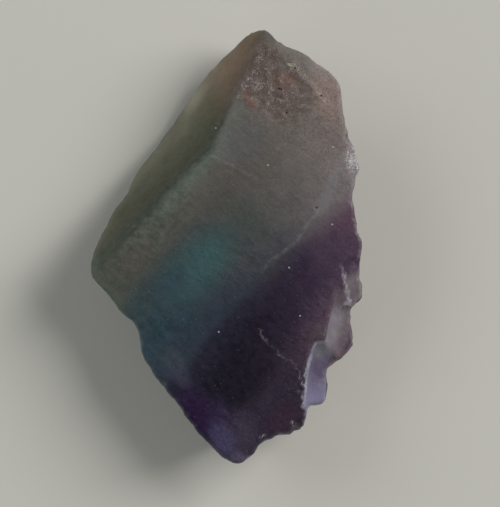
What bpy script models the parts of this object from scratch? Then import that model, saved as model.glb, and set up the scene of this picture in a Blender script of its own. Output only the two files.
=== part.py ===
"""Fluorite cleavage fragment: a kite-shaped slab broken from a zoned octahedron, on its flat underside.

The broad top face, the underside and the undercut walls are octahedral cleavage planes, which meet at
70.5 degrees. The long bevel on the upper left is a natural crystal face. The right side is a fracture
with three chips. Sizes are in millimetres and degrees; the finished mesh is scaled to metres.
"""

import math
import random

import bmesh
import bpy
from mathutils import Matrix, Vector, geometry, noise

MM = 0.001
rng = random.Random(11)

# The slab
TOP_HEIGHT = 9.3  # of the top face over the underside, in the middle of the stone
TOP_TILT = 1.6  # the top face falls gently towards the lower right
TOP_FALLS_TO = 320.0
CLEAVAGE = 70.53  # angle between octahedral cleavage planes
BLANK_TOP = 12.0
GRAIN = 0.62  # longest straight run along a broken edge

# The long bevel, in two slightly turned parts that meet at the bend of the ridge
RIDGE_BEND = (-1.6, 9.65)
BEVEL_SLOPE = 60.0
BEVEL_FACES = (154.0, 135.3)  # the ridge turns outwards here, so the bevel has a faint fold
RIM_LEAST, RIM_MOST = 0.9, 8.4  # heights of the bevel's outer rim
RIDGE_WEAR = 0.14

# The shallow terrace that crosses the top face below the ridge bend
TERRACE_DROP = 0.2
TERRACE_EDGE = [
    (-3.4, 9.9), (-1.5, 8.9), (-0.9, 8.1), (0.8, 7.65), (2.4, 7.0), (4.6, 6.2), (7.3, 5.1), (9.2, 3.9),
]  # fmt: skip

# Gentle facets along the edges of the top face and of the underside: a point on each, facing, slope
EDGE_FACETS = [(3.5, 20.65, 47, 13), (12.4, 6.0, 4, 14), (-1.0, -19.2, 238, 14), (-12.6, -3.0, 212, 24)]
UNDER_FACETS = [(2.0, 16.8, 92, 15), (0.0, -14.8, 268, 20), (9.4, -3.0, 350, 25), (-6.5, 1.0, 150, 9)]

# The rough etched patch near the apex
CRUST_EDGE = [
    (3.4, 20.4), (4.6, 19.6), (6.0, 18.3), (7.6, 16.9), (8.7, 15.6), (9.8, 14.4), (8.9, 13.2), (7.4, 12.7),
    (6.0, 12.9), (4.8, 12.3), (3.5, 13.2), (2.4, 14.4), (1.2, 15.0), (0.8, 15.9), (1.3, 17.2), (2.2, 19.0),
]  # fmt: skip
CRUST_DEPTH = 0.24

# The outline seen from above, clockwise from the apex. Each stretch of wall has a facing direction, the
# height at which it stands out furthest, how fast it draws in below and above that height, and a roughness.
UNDERCUT = 1 / math.tan(math.radians(CLEAVAGE))
WALLS = [
    (
        "upper right cleavage", 57, 8.9, UNDERCUT, 0.30, 0.14,
        [
            (3.1, 21.75), (4.0, 21.5), (5.0, 20.5), (5.8, 19.95), (7.7, 19.2), (9.0, 18.2), (10.6, 17.1),
            (11.0, 16.5),
        ],
    ),
    (
        "right shoulder", 8, 8.6, 0.20, 0.20, 0.15,
        [(11.4, 15.4), (11.6, 13.2), (11.8, 12.1), (12.4, 10.4), (12.9, 9.0), (13.2, 8.2), (12.8, 6.9)],
    ),
    (
        "right fracture", 358, 8.5, 0.22, 0.20, 0.16,
        [
            (12.8, 6.4), (12.55, 5.5), (12.5, 4.6), (12.9, 2.6), (13.45, 0.6), (13.5, 0.0), (13.3, -1.6),
            (13.2, -3.1),
        ],
    ),
    (
        "ledge and chips", 352, 4.6, 0.18, 0.05, 0.26,
        [
            (13.5, -3.8), (13.55, -4.5), (13.4, -5.1), (12.6, -5.9), (12.25, -6.3), (12.2, -7.6),
            (12.55, -9.1), (12.1, -10.4), (10.9, -11.4), (9.9, -12.2), (9.8, -12.9), (9.95, -14.5),
            (9.8, -15.4), (9.4, -15.75),
        ],
    ),
    (
        "lower right cleavage", 299, 8.4, UNDERCUT, 0.25, 0.24,
        [
            (8.2, -15.85), (8.0, -16.5), (7.9, -17.2), (7.25, -18.3), (6.7, -18.4), (5.7, -18.8),
            (5.0, -18.8), (3.9, -19.35), (3.2, -19.8), (2.9, -20.4), (2.2, -21.1),
        ],
    ),
    ("tip", 250, 8.3, 0.30, 0.40, 0.10, [(1.3, -21.75), (0.6, -21.6), (-0.5, -21.05), (-0.95, -20.55)]),
    (
        "lower left cleavage", 217, 8.6, UNDERCUT, 0.35, 0.14,
        [
            (-2.4, -19.05), (-3.7, -17.45), (-4.7, -16.0), (-5.2, -15.25), (-6.75, -13.65), (-7.6, -12.1),
            (-8.2, -11.35), (-8.6, -10.1), (-8.7, -8.85), (-9.25, -7.55),
        ],
    ),
    (
        "left corner", 215, 8.8, UNDERCUT, 0.35, 0.12,
        [(-10.45, -6.6), (-11.05, -5.8), (-11.7, -5.0), (-13.1, -3.5), (-13.5, -2.9), (-13.55, -2.3)],
    ),
    (
        "bevel rim", 152, None, 0.30, 0.0, 0.10,
        [
            (-13.3, -0.5), (-12.75, 0.85), (-11.55, 3.3), (-10.9, 4.3), (-9.95, 5.4), (-9.6, 6.4),
            (-8.8, 7.85), (-7.35, 9.65), (-6.0, 11.7), (-3.7, 14.95), (-2.1, 17.2), (-0.9, 18.45),
            (0.75, 19.95), (2.0, 21.2), (2.5, 21.6),
        ],
    ),
]  # fmt: skip

# Heights of the rings of the wall, as shares of the way up to its widest height and on to the blank's top
BELOW = (0.0, 0.25, 0.5, 0.75)
ABOVE = (0.0, 0.18, 0.4, 1.0)

# Chips: the corners of the facet each flake left behind, and the direction in which the flake came off
CHIPS = [
    (
        "ledge", (0.6, 0.1, 2),
        [(11.5, -1.2, 9.2), (11.6, -3.0, 8.4), (12.2, -6.4, 7.7), (14.6, -6.4, 7.3), (14.6, -1.0, 8.2)],
    ),
    (
        "upper chip", (1.6, -0.1, 1),
        [
            (11.0, -3.6, 9.05), (10.3, -6.2, 9.0), (9.85, -8.0, 8.98), (9.5, -10.9, 8.93), (11.4, -12.2, 6.75),
            (11.9, -7.8, 6.9), (12.6, -4.6, 8.3),
        ],
    ),
    (
        "upper chip floor", (0.3, 0, 1),
        [(11.3, -5.9, 7.3), (10.7, -12.2, 7.05), (13.4, -12.4, 5.8), (13.9, -6.1, 6.6)],
    ),
    (
        "lower chip", (1.2, 0, 1.6),
        [
            (8.5, -9.1, 9.0), (7.75, -11.8, 8.92), (7.35, -16.1, 8.85), (10.5, -16.0, 6.5), (10.9, -11.6, 6.6),
            (10.3, -9.7, 8.6),
        ],
    ),
]  # fmt: skip

# Small scoops out of the broken edges: centre, radius and how flat each one is
SCOOPS = [
    ((10.7, -10.9, 9.3), 1.15, 0.9),
    ((7.1, -17.9, 9.0), 0.75, 0.7),
    ((4.0, -19.6, 9.1), 0.95, 0.55),
    ((2.6, -18.1, 9.0), 0.42, 0.5),
    ((7.35, -14.3, 9.0), 0.4, 0.8),
    ((12.9, 8.8, 8.3), 1.1, 0.8),
    ((13.2, 5.0, 7.8), 1.0, 1.0),
    ((12.2, 10.9, 8.9), 0.6, 0.6),
    ((13.6, 1.6, 8.4), 0.9, 0.9),
    ((8.95, 3.85, 9.0), 0.3, 0.8),
    ((-9.7, -8.0, 8.9), 0.7, 0.5),
    ((-6.7, -14.0, 8.8), 0.8, 0.5),
]

# Stepped flakes missing from the walls: facing, distance out at 8 mm up, draw, places along, heights
FLAKES = [
    (299, 18.75, UNDERCUT, (1.6, 7.6), (-1.0, 4.3)),
    (299, 19.0, 0.30, (4.4, 8.6), (3.1, 6.2)),
    (217, 12.85, UNDERCUT, (-13.4, -6.4), (1.7, 6.3)),
    (217, 12.35, 0.33, (-7.4, -2.2), (-1.0, 3.4)),
    (57, 19.5, UNDERCUT, (-7.2, -0.8), (-1.0, 5.4)),
    (2, 12.75, 0.24, (-7.4, 1.4), (-1.0, 4.4)),
    (350, 12.4, 0.10, (8.2, 14.6), (-1.0, 3.2)),
    (150, 13.4, 0.12, (-9.4, -2.6), (-1.0, 2.0)),
]


def direction(azimuth, slope=90.0):
    """The way out of a plane that faces this azimuth and slopes this much."""
    a, s = math.radians(azimuth), math.radians(slope)
    return Vector((math.cos(a) * math.sin(s), math.sin(a) * math.sin(s), math.cos(s)))


TOP_NORMAL = direction(TOP_FALLS_TO, TOP_TILT)


def top_at(x, y):
    return TOP_HEIGHT - (TOP_NORMAL.x * x + TOP_NORMAL.y * y) / TOP_NORMAL.z


def bevel_at(x, y, azimuth):
    """Height of a bevel plane, which passes through the bend of the ridge."""
    out = direction(azimuth)
    run = (x - RIDGE_BEND[0]) * out.x + (y - RIDGE_BEND[1]) * out.y
    return top_at(*RIDGE_BEND) - run * math.tan(math.radians(BEVEL_SLOPE))


def rim_height(x, y):
    return min(max(*(bevel_at(x, y, azimuth) for azimuth in BEVEL_FACES), RIM_LEAST), RIM_MOST)


def outline():
    """Points round the wall: place, draw below and above the widest height, that height, roughness."""
    corners = []
    for _, azimuth, height, below, above, rough, places in WALLS:
        for x, y in places:
            widest = rim_height(x, y) if height is None else height
            out = direction(azimuth)
            corners.append((Vector((x, y, 0)), out * below, out * above, widest, rough))
    points = []
    for here, after in zip(corners, corners[1:] + corners[:1], strict=True):
        parts = max(1, round((after[0] - here[0]).length / GRAIN))
        across = (after[0] - here[0]).cross(Vector((0, 0, 1))).normalized()
        for i in range(parts):
            t = i / parts
            values = [a + (b - a) * t for a, b in zip(here, after, strict=True)]
            if i:
                values[0] = values[0] - across * rng.uniform(-0.2, 0.75) * values[4]
            points.append(values)
    return points


def smoothed(values, reach):
    """Averages over the neighbours round the outline."""
    count = len(values)
    window = range(-reach, reach + 1)
    nothing = values[0] * 0
    return [sum((values[(i + k) % count] for k in window), nothing) / len(window) for i in range(count)]


def stone_blank():
    """The wall as stacked rings, closed by a flat underside and a flat top well above the stone."""
    points = outline()
    below = smoothed([p[1] for p in points], 4)
    above = smoothed([p[2] for p in points], 2)
    widest = smoothed([p[3] for p in points], 2)
    soft = smoothed([p[0] for p in points], 3)
    blank = bmesh.new()
    rings = []
    for share in BELOW:
        ring = []
        for p, inward, height, plain in zip(points, below, widest, soft, strict=True):
            z = height * share
            place = plain.lerp(p[0], 0.25 + 0.75 * share) - inward * (height - z)
            steps = noise.fractal(Vector((place.x * 0.5, place.y * 0.5, z * 0.9)), 0.8, 2.1, 3)
            place -= inward.normalized() * max(0.0, 0.4 + steps) * p[4] * (2.2 if share else 0.4)
            ring.append(blank.verts.new((place.x, place.y, z)))
        rings.append(ring)
    for share in ABOVE:
        ring = []
        for p, inward, height in zip(points, above, widest, strict=True):
            z = height + (BLANK_TOP - height) * share
            place = p[0] - inward * (z - height)
            ring.append(blank.verts.new((place.x, place.y, z)))
        rings.append(ring)
    count = len(points)
    for lower, upper in zip(rings, rings[1:], strict=False):
        for i in range(count):
            j = (i + 1) % count
            blank.faces.new((lower[j], lower[i], upper[i], upper[j]))
    blank.faces.new(rings[0])
    blank.faces.new(list(reversed(rings[-1])))
    bmesh.ops.triangulate(blank, faces=[f for f in blank.faces if len(f.verts) == 4])
    bmesh.ops.recalc_face_normals(blank, faces=blank.faces)
    return blank


def cut_plane(stone, place, normal):
    """Takes off everything outside a plane and closes the cut."""
    everything = stone.verts[:] + stone.edges[:] + stone.faces[:]
    cut = bmesh.ops.bisect_plane(
        stone, geom=everything, dist=1e-5, plane_co=place, plane_no=normal, clear_outer=True
    )
    rim = [e for e in cut["geom_cut"] if isinstance(e, bmesh.types.BMEdge)]
    bmesh.ops.holes_fill(stone, edges=rim, sides=0)


def cut_faces(stone):
    """The flat faces that cross the whole stone, or a whole corner of it."""
    cut_plane(stone, Vector((0, 0, TOP_HEIGHT)), TOP_NORMAL)
    for x, y, azimuth, slope in EDGE_FACETS:
        cut_plane(stone, Vector((x, y, top_at(x, y))), direction(azimuth, slope))
    for x, y, azimuth, slope in UNDER_FACETS:
        cut_plane(stone, Vector((x, y, 0)), direction(azimuth, 180 - slope))


def mesh_object(name, shape, collection):
    mesh = bpy.data.meshes.new(name)
    bmesh.ops.transform(shape, matrix=Matrix.Scale(MM, 4), verts=shape.verts)
    shape.to_mesh(mesh)
    shape.free()
    made = bpy.data.objects.new(name, mesh)
    collection.objects.link(made)
    return made


def prism(corners, shift):
    """A closed block between a facet and the same facet moved off."""
    block = bmesh.new()
    facet = [block.verts.new(c) for c in corners]
    lid = [block.verts.new(Vector(c) + shift) for c in corners]
    count = len(corners)
    block.faces.new(facet)
    block.faces.new(list(reversed(lid)))
    for i in range(count):
        j = (i + 1) % count
        block.faces.new((facet[i], lid[i], lid[j], facet[j]))
    bmesh.ops.triangulate(block, faces=block.faces)
    bmesh.ops.recalc_face_normals(block, faces=block.faces)
    return block


def hull(corners, shift, spread=0.0):
    """A convex block over the facet that a flake left; a spread slants its sides."""
    block = bmesh.new()
    middle = sum((Vector(c) for c in corners), Vector()) / len(corners)
    for c in corners:
        block.verts.new(c)
        block.verts.new(Vector(c) + (Vector(c) - middle) * spread + shift)
    made = bmesh.ops.convex_hull(block, input=block.verts)
    spare = [v for v in made["geom_interior"] if isinstance(v, bmesh.types.BMVert)]
    bmesh.ops.delete(block, geom=spare, context="VERTS")
    bmesh.ops.recalc_face_normals(block, faces=block.faces)
    return block


def terrace():
    """The layer missing below the terrace edge; it thins out to nothing at the right side."""
    far = [(20, -4), (20, -30), (-20, -30), (-22, 2), (-12, 12)]
    corners = []
    for x, y in TERRACE_EDGE + far:
        drop = TERRACE_DROP * (9.6 - x) / 11.2
        corners.append((x, y, top_at(x, y) - drop))
    return prism(corners, Vector((0, 0, 4)))


def into_crust(x, y):
    """How far a place lies inside the edge of the etched patch; negative outside it."""
    place = Vector((x, y, 0))
    nearest, inside = 99.0, False
    for (ax, ay), (bx, by) in zip(CRUST_EDGE, CRUST_EDGE[1:] + CRUST_EDGE[:1], strict=True):
        a, b = Vector((ax, ay, 0)), Vector((bx, by, 0))
        _, share = geometry.intersect_point_line(place, a, b)
        nearest = min(nearest, (place - a.lerp(b, min(max(share, 0), 1))).length)
        if (ay > y) != (by > y) and x < ax + (bx - ax) * (y - ay) / (by - ay):
            inside = not inside
    return nearest if inside else -nearest


def crust_hollow():
    """The layer etched out of the patch: its floor is lumpy and pitted, and comes up at the edge."""
    shape = bmesh.new()
    bmesh.ops.create_grid(shape, x_segments=20, y_segments=18, size=1)
    roof = bmesh.ops.extrude_face_region(shape, geom=shape.faces[:])
    lid = {v for v in roof["geom"] if isinstance(v, bmesh.types.BMVert)}
    for v in shape.verts:
        x, y = 5.3 + v.co.x * 5.2, 16.4 + v.co.y * 4.7
        if v in lid:
            v.co = (x, y, BLANK_TOP)
            continue
        x += rng.uniform(-0.14, 0.14)
        y += rng.uniform(-0.14, 0.14)
        lumps = noise.fractal(Vector((x, y, 3)) * 0.8, 0.7, 2.2, 3) + rng.uniform(-0.35, 0.45)
        edge = min(max(into_crust(x, y) / 0.5, -1.0), 1.0)
        depth = CRUST_DEPTH * edge * (0.55 + 0.75 * max(lumps, -0.5)) if edge > 0 else 0.3 * edge - 0.02
        v.co = (x, y, top_at(x, y) - depth)
    bmesh.ops.triangulate(shape, faces=shape.faces)
    bmesh.ops.recalc_face_normals(shape, faces=shape.faces)
    return shape


def outside_bevels(inset, slope):
    """Everything beyond both parts of the bevel at once, which leaves the fold between them."""
    block = bmesh.new()
    bmesh.ops.create_cube(block, size=60)
    bend = Vector((*RIDGE_BEND, top_at(*RIDGE_BEND)))
    for azimuth in BEVEL_FACES:
        cut_plane(block, bend - direction(azimuth) * inset, -direction(azimuth, slope))
    return block


def scoop(centre, radius, flatness):
    ball = bmesh.new()
    bmesh.ops.create_icosphere(ball, subdivisions=3 if radius > 2 else 2, radius=radius)
    for v in ball.verts:
        v.co *= 1 + 0.16 * noise.noise(v.co * (1.3 / radius) + Vector(centre))
        v.co.z *= flatness
        v.co += Vector(centre)
    return ball


def flake(azimuth, out_at_8, draw, along, heights):
    """A slant-sided block that lies against a wall and steps into it."""
    out = direction(azimuth)
    side = out.cross(Vector((0, 0, 1)))
    low, high = heights
    slant = (high - low) * 0.42
    corners = []
    near, far = along
    for s, z in ((near, low), (far, low), (far - slant, high), (near + slant * 0.6, high)):
        depth = out_at_8 - (8 - z) * draw + rng.uniform(-0.22, 0.12)
        corners.append(out * depth + side * s + Vector((0, 0, z)))
    return hull(corners, out * 4 + Vector((0, 0, 0.5)), 1.3)


def ridge_teeth():
    """Splinters missing along the ridge, which leave it ragged; the part below the terrace sits lower."""
    teeth = []
    up = Vector((0, 0, 1))
    steep = math.tan(math.radians(BEVEL_SLOPE))
    stretches = ((BEVEL_FACES[0], -1, 12.0, 0), (BEVEL_FACES[1], 1, 12.6, TERRACE_DROP))
    for azimuth, side, length, sunk in stretches:
        out = direction(azimuth)
        along = out.cross(up) * -side
        at = 0.5
        while at < length:
            wide, deep = rng.uniform(0.6, 1.9), rng.uniform(0.10, 0.26)
            root = Vector((*RIDGE_BEND, 0)) + along * (at + wide / 2) + out * (sunk / steep)
            root.z = top_at(root.x, root.y) - sunk
            inner = root - out * (deep + RIDGE_WEAR) + along * rng.uniform(-0.3, 0.3) * wide + up * 0.06
            lower = root + (out - up * steep) * rng.uniform(0.8, 1.6) * deep + out * 0.07
            ends = [root + along * wide * k - out * RIDGE_WEAR * 0.5 + up * 0.08 for k in (-0.5, 0.5)]
            teeth.append(hull([inner, lower, *ends], (out + up * 0.6) * 0.6))
            at += wide + rng.uniform(0.0, 0.6)
    return teeth


def material():
    made = bpy.data.materials.new("Frosted fluorite")
    made.use_nodes = True
    shader = made.node_tree.nodes["Principled BSDF"]
    shader.inputs["Base Color"].default_value = (0.10, 0.10, 0.12, 1)
    shader.inputs["Roughness"].default_value = 0.4
    shader.inputs["IOR"].default_value = 1.434
    made.diffuse_color = (0.10, 0.10, 0.12, 1)
    return made


for old in list(bpy.data.objects):
    bpy.data.objects.remove(old)
part_collection = bpy.data.collections.new("Fluorite fragment")
cutter_collection = bpy.data.collections.new("Fluorite cutters")
bpy.context.scene.collection.children.link(part_collection)
bpy.context.scene.collection.children.link(cutter_collection)

blank = stone_blank()
cut_faces(blank)
stone = mesh_object("fluorite", blank, part_collection)
stone.data.materials.append(material())

cutters = [
    ("bevel", outside_bevels(0, BEVEL_SLOPE)),
    ("ridge wear", outside_bevels(RIDGE_WEAR, BEVEL_SLOPE / 2)),
]
cutters += [("terrace", terrace()), ("crust hollow", crust_hollow())]
cutters += [(name, hull(corners, Vector(shift) * 4)) for name, shift, corners in CHIPS]
cutters += [("scoop", scoop(*s)) for s in SCOOPS]
cutters += [("flake", flake(*f)) for f in FLAKES]
cutters += [("ridge tooth", tooth) for tooth in ridge_teeth()]
for name, shape in cutters:
    cutter = mesh_object(name, shape, cutter_collection)
    cutter.hide_render = True
    cutter.display_type = "WIRE"
    cut = stone.modifiers.new(name, "BOOLEAN")
    cut.operation = "DIFFERENCE"
    cut.solver = "EXACT"
    cut.object = cutter
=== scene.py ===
"""Frosted, colour-zoned fluorite fragment on a plain pale floor, seen straight from above.

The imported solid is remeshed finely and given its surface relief: a worn ridge and step, hackled fractures,
the etched patch, crushed grains and a healed crack. The colours lie in zones parallel to a crystal face.
Lengths are millimetres, except where Blender is handed metres.
"""

import math

import bpy
import numpy as np
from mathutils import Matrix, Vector, noise


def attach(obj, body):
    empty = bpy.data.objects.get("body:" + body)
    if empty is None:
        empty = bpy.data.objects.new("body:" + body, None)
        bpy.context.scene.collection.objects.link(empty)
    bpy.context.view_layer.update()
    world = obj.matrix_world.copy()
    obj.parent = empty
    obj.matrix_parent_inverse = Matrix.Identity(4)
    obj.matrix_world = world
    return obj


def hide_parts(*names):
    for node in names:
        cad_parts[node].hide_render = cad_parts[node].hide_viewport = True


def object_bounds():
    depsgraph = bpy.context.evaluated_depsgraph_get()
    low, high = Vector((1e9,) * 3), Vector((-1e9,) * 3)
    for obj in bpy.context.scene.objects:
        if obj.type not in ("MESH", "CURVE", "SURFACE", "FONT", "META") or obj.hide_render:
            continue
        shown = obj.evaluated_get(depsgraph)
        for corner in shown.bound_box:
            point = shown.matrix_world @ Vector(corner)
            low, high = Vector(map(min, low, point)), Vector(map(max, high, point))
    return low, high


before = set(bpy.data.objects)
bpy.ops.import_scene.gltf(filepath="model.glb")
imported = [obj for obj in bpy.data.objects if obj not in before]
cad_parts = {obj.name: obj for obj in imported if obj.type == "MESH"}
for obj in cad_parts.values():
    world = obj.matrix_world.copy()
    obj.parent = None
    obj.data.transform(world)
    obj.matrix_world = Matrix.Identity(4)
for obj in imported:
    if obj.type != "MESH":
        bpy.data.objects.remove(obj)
cad_low, cad_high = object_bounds()

MM = 0.001
VOXEL = 0.175
RESTING = 0.06  # points below this height belong to the face that the stone rests on
FAR = 9  # pushes a distance out of reach where its mark must not show

# Shape of the stone, as the solid was made
RIDGE_BEND = (-1.6, 9.65)
BEVEL_FACES = (154.0, 135.3)
BEVEL_SLOPE = 60.0
TOP_HEIGHT, TOP_TILT, TOP_FALLS_TO = 9.3, 1.6, 320.0
ZONES_FACE = 140.0  # the colour zones run parallel to a crystal face that faces this way
CRUST = [
    (3.4, 20.9), (4.6, 19.8), (6.0, 18.5), (7.6, 17.1), (8.3, 15.9), (9.1, 14.7), (8.0, 13.4), (6.9, 12.6),
    (6.0, 12.7), (4.8, 12.1), (3.5, 13.0), (2.4, 14.1), (0.8, 14.6), (0.3, 15.8), (0.9, 17.4), (1.9, 19.3),
]  # fmt: skip
CRACK = [
    (9.3, 3.6), (8.6, 2.8), (7.9, 2.0), (7.35, 1.2), (6.8, 0.4), (6.0, -0.3), (5.1, -0.9), (4.1, -1.7),
    (3.6, -2.5),
]  # fmt: skip
STEP = [(-3.4, 9.9), (-1.5, 8.9), (-0.9, 8.1), (0.8, 7.65), (2.4, 7.0), (4.6, 6.2), (7.3, 5.1), (9.2, 3.9)]
STEP_DROP = 0.2
STEP_END, STEP_SPAN = 9.6, 11.2  # the step fades out at this x, and has its whole drop this far to the left

# Sets of cleavage steps on the broken walls: the way across them, width, height, seed
CLEAVAGE_STEPS = [((0.5, 0.3, -0.8), 1.9, 0.20, 0.7), ((-0.4, 0.7, 0.6), 2.7, 0.14, 3.1)]
# The right shoulder, which stands out further than in the solid: middle, half sizes, height
SHOULDER, SHOULDER_SIZE, SHOULDER_OUT = (12.8, 8.6), (1.0, 0.9), 0.42

# Marks on the top face
SEAM = [(3.1, -8.2), (3.9, -9.3), (4.7, -10.1), (5.5, -11.0), (6.6, -11.5), (7.1, -12.2), (7.3, -13.2)]
STEP_LINE = [(-1.5, 9.1), (-0.6, 8.65), (0.2, 8.2), (1.8, 7.35), (2.8, 6.9), (4.6, 6.2), (6.0, 5.6)]
VEIL_LINE = [(11.6, 8.4), (10.6, 6.6), (9.9, 5.0), (9.3, 3.6)]
STREAK = [(6.7, 18.2), (7.6, 17.1), (8.3, 16.3), (8.9, 15.6), (9.4, 15.0), (10.0, 14.3)]
CRUSHED = (12.7, 8.7)
LIP = [(8.9, -9.6), (8.3, -10.8), (8.0, -12.4), (7.8, -13.8), (7.7, -15.0), (7.6, -16.0)]
LEDGE_LIP = [(11.35, -1.7), (11.7, -3.2), (12.0, -4.6), (12.3, -5.6)]
PITS = [(6.8, 17.75), (5.2, 15.7), (5.42, 15.62), (5.95, 13.3), (9.4, 15.0), (8.93, 3.85), (4.75, 14.6)]
SPECKS = [(-0.8, -8.5), (7.3, -6.9), (10.5, 2.2), (6.2, -2.1), (4.1, 8.1), (-1.1, 11.8), (10.6, 9.9)]


def direction(azimuth):
    a = math.radians(azimuth)
    return np.array((math.cos(a), math.sin(a)))


def ramp(x, low, high):
    """0 below low, 1 above high, smooth between."""
    t = np.clip((x - low) / (high - low), 0.0, 1.0)
    return t * t * (3 - 2 * t)


def from_line(places, line):
    """Distance in plan to a broken line."""
    nearest = np.full(len(places), 1e9)
    for a, b in zip(line, line[1:], strict=False):
        a, b = np.array(a), np.array(b)
        share = np.clip((places - a) @ (b - a) / ((b - a) @ (b - a)), 0, 1)
        nearest = np.minimum(nearest, np.linalg.norm(places - a - share[:, None] * (b - a), axis=1))
    return nearest


def into(places, edge):
    """Distance in plan inside a closed outline, negative outside."""
    ring = edge + edge[:1]
    inside = np.zeros(len(places), bool)
    x, y = places.T
    for (ax, ay), (bx, by) in zip(ring, ring[1:], strict=False):
        spans = (ay > y) != (by > y)
        inside ^= spans & (x < ax + (bx - ax) * (y - ay) / (by - ay + 1e-12))
    return np.where(inside, 1, -1) * from_line(places, ring)


def lumps(points, scale, octaves, seed, stretch=(1, 1, 1)):
    """Fractal noise, about -1 to 1, at so many lumps a millimetre."""
    moved = points * (np.array(stretch) * scale) + seed
    return np.array([noise.fractal(Vector(p), 0.9, 2.1, octaves) for p in moved])


def cells(points, scale, seed):
    """Distance to the nearest middle of a cell pattern."""
    moved = points * scale + seed
    return np.array([noise.voronoi(Vector(p))[0][0] for p in moved])


def streaks(along, out, by_along, by_out, seed):
    """Noise at each place along and across the zones, at so many lumps a millimetre each way."""
    places = zip(along, out, strict=True)
    return np.array([noise.noise(Vector((a * by_along, b * by_out, seed))) for a, b in places])


# ---------------------------------------------------------------- the stone's surface
def fine_mesh(node):
    """The node's solid in millimetres, in even small faces."""
    data = node.data.copy()
    data.transform([[1000, 0, 0, 0], [0, 1000, 0, 0], [0, 0, 1000, 0], [0, 0, 0, 1]])
    rough = bpy.data.objects.new("stone_rough", data)
    bpy.context.scene.collection.objects.link(rough)
    weld = rough.modifiers.new("weld", "WELD")
    weld.merge_threshold = 1e-4
    remesh = rough.modifiers.new("remesh", "REMESH")
    remesh.mode = "VOXEL"
    remesh.voxel_size = VOXEL
    graph = bpy.context.evaluated_depsgraph_get()
    graph.update()
    made = bpy.data.meshes.new_from_object(rough.evaluated_get(graph))
    bpy.data.objects.remove(rough)
    made.name = "fluorite_surface"
    return made


def rim_distance(plan, cell=0.25, reach=16):
    """How far each place lies inside the outline seen from above, up to reach cells."""
    start = plan.min(axis=0) - 3 * cell
    shape = np.ceil((plan.max(axis=0) - start) / cell).astype(int) + 4
    left = np.zeros(shape, bool)
    index = np.round((plan - start) / cell).astype(int)
    left[tuple(index.T)] = True
    depth = np.zeros(shape)
    while reach and left.any():
        depth += left * cell
        straight = left[2:, 1:-1] & left[:-2, 1:-1] & left[1:-1, 2:] & left[1:-1, :-2]
        if reach % 2:
            straight &= left[2:, 2:] & left[:-2, :-2] & left[2:, :-2] & left[:-2, 2:]
        left[1:-1, 1:-1] &= straight
        reach -= 1
    place = (plan - start) / cell
    low = np.floor(place).astype(int)
    fx, fy = (place - low).T
    x, y = low.T
    bottom = depth[x, y] * (1 - fx) + depth[x + 1, y] * fx
    return bottom * (1 - fy) + (depth[x, y + 1] * (1 - fx) + depth[x + 1, y + 1] * fx) * fy


def spread(values, edges, rounds):
    """Values averaged over their neighbours."""
    a, b = edges.T
    count = np.bincount(edges.ravel(), minlength=len(values))
    for _ in range(rounds):
        total = np.bincount(a, values[b], len(values)) + np.bincount(b, values[a], len(values))
        values = 0.5 * values + 0.5 * total / np.maximum(count, 1)
    return values


def sharpness(points, normals, edges):
    """Positive on ridges and corners, negative in hollows, in radians a millimetre."""
    a, b = edges.T
    apart = points[b] - points[a]
    bend = ((normals[b] - normals[a]) * apart).sum(axis=1) / np.maximum((apart**2).sum(axis=1), 1e-9)
    count = np.bincount(edges.ravel(), minlength=len(points))
    total = np.bincount(a, bend, len(points)) + np.bincount(b, bend, len(points))
    return total / np.maximum(count, 1)


def upper_surface(points):
    """The height of the top face and bevel at each place, and the place's distances.

    They are how far it lies outside the ridge, below the step and along the zones.
    """
    plan = points[:, :2]
    offset = plan - np.array(RIDGE_BEND)
    out = np.minimum(*(offset @ direction(f) for f in BEVEL_FACES))
    along = plan @ direction(ZONES_FACE - 90)
    x, y = plan.T
    fall = direction(TOP_FALLS_TO) * math.tan(math.radians(TOP_TILT))
    top = TOP_HEIGHT - plan @ fall
    below_step = (np.interp(x, *np.array(STEP).T) - y) * 0.9
    drop = STEP_DROP * np.clip((STEP_END - x) / STEP_SPAN, 0, 2)
    worn_drop = drop * (0.12 * ramp(below_step, -0.12, 0.12) + 0.88 * ramp(below_step, -1.5, 1.5))
    steep = math.tan(math.radians(BEVEL_SLOPE))
    fray = 0.10 * streaks(along, out, 2.3, 0.8, 9)
    on_top = top - worn_drop
    on_bevel = top - (out + fray * np.exp(-((out / 0.8) ** 2))) * steep
    worn = 0.18 + 0.3 * ramp(-along, 1, 6)
    height = np.minimum(on_top, on_bevel) - worn * np.exp(-np.abs(on_top - on_bevel) / worn) * 0.35
    return height, out - worn_drop / steep, below_step, along


def level(mesh):
    """Wear down the ridge and the step, as handling has, and fill the small scoop beside the step."""
    points, normals = vertex_data(mesh)
    height, out, below_step, _ = upper_surface(points)
    gap = np.abs(points[:, 2] - height)
    plan = points[:, :2]
    near_ridge = 1 - ramp(np.abs(out), 1.0, 1.6)
    near_step = (1 - ramp(np.abs(below_step), 1.5, 1.9)) * ramp(10.4 - plan[:, 0], 0, 0.8) * (out < 0)
    share = np.maximum(near_ridge, near_step) * (1 - ramp(gap, 0.5, 0.8)) * ramp(normals[:, 2], 0.0, 0.3)
    share *= 1 - ramp(into(plan, CRUST), -0.3, 0.1)
    share = np.where((gap < 0.5) & (near_step > 0.9) & (normals[:, 2] > -0.2), 1, share)
    points[:, 2] += share * (height - points[:, 2])
    mesh.vertices.foreach_set("co", points.astype(np.float32).ravel())
    mesh.update()


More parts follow.
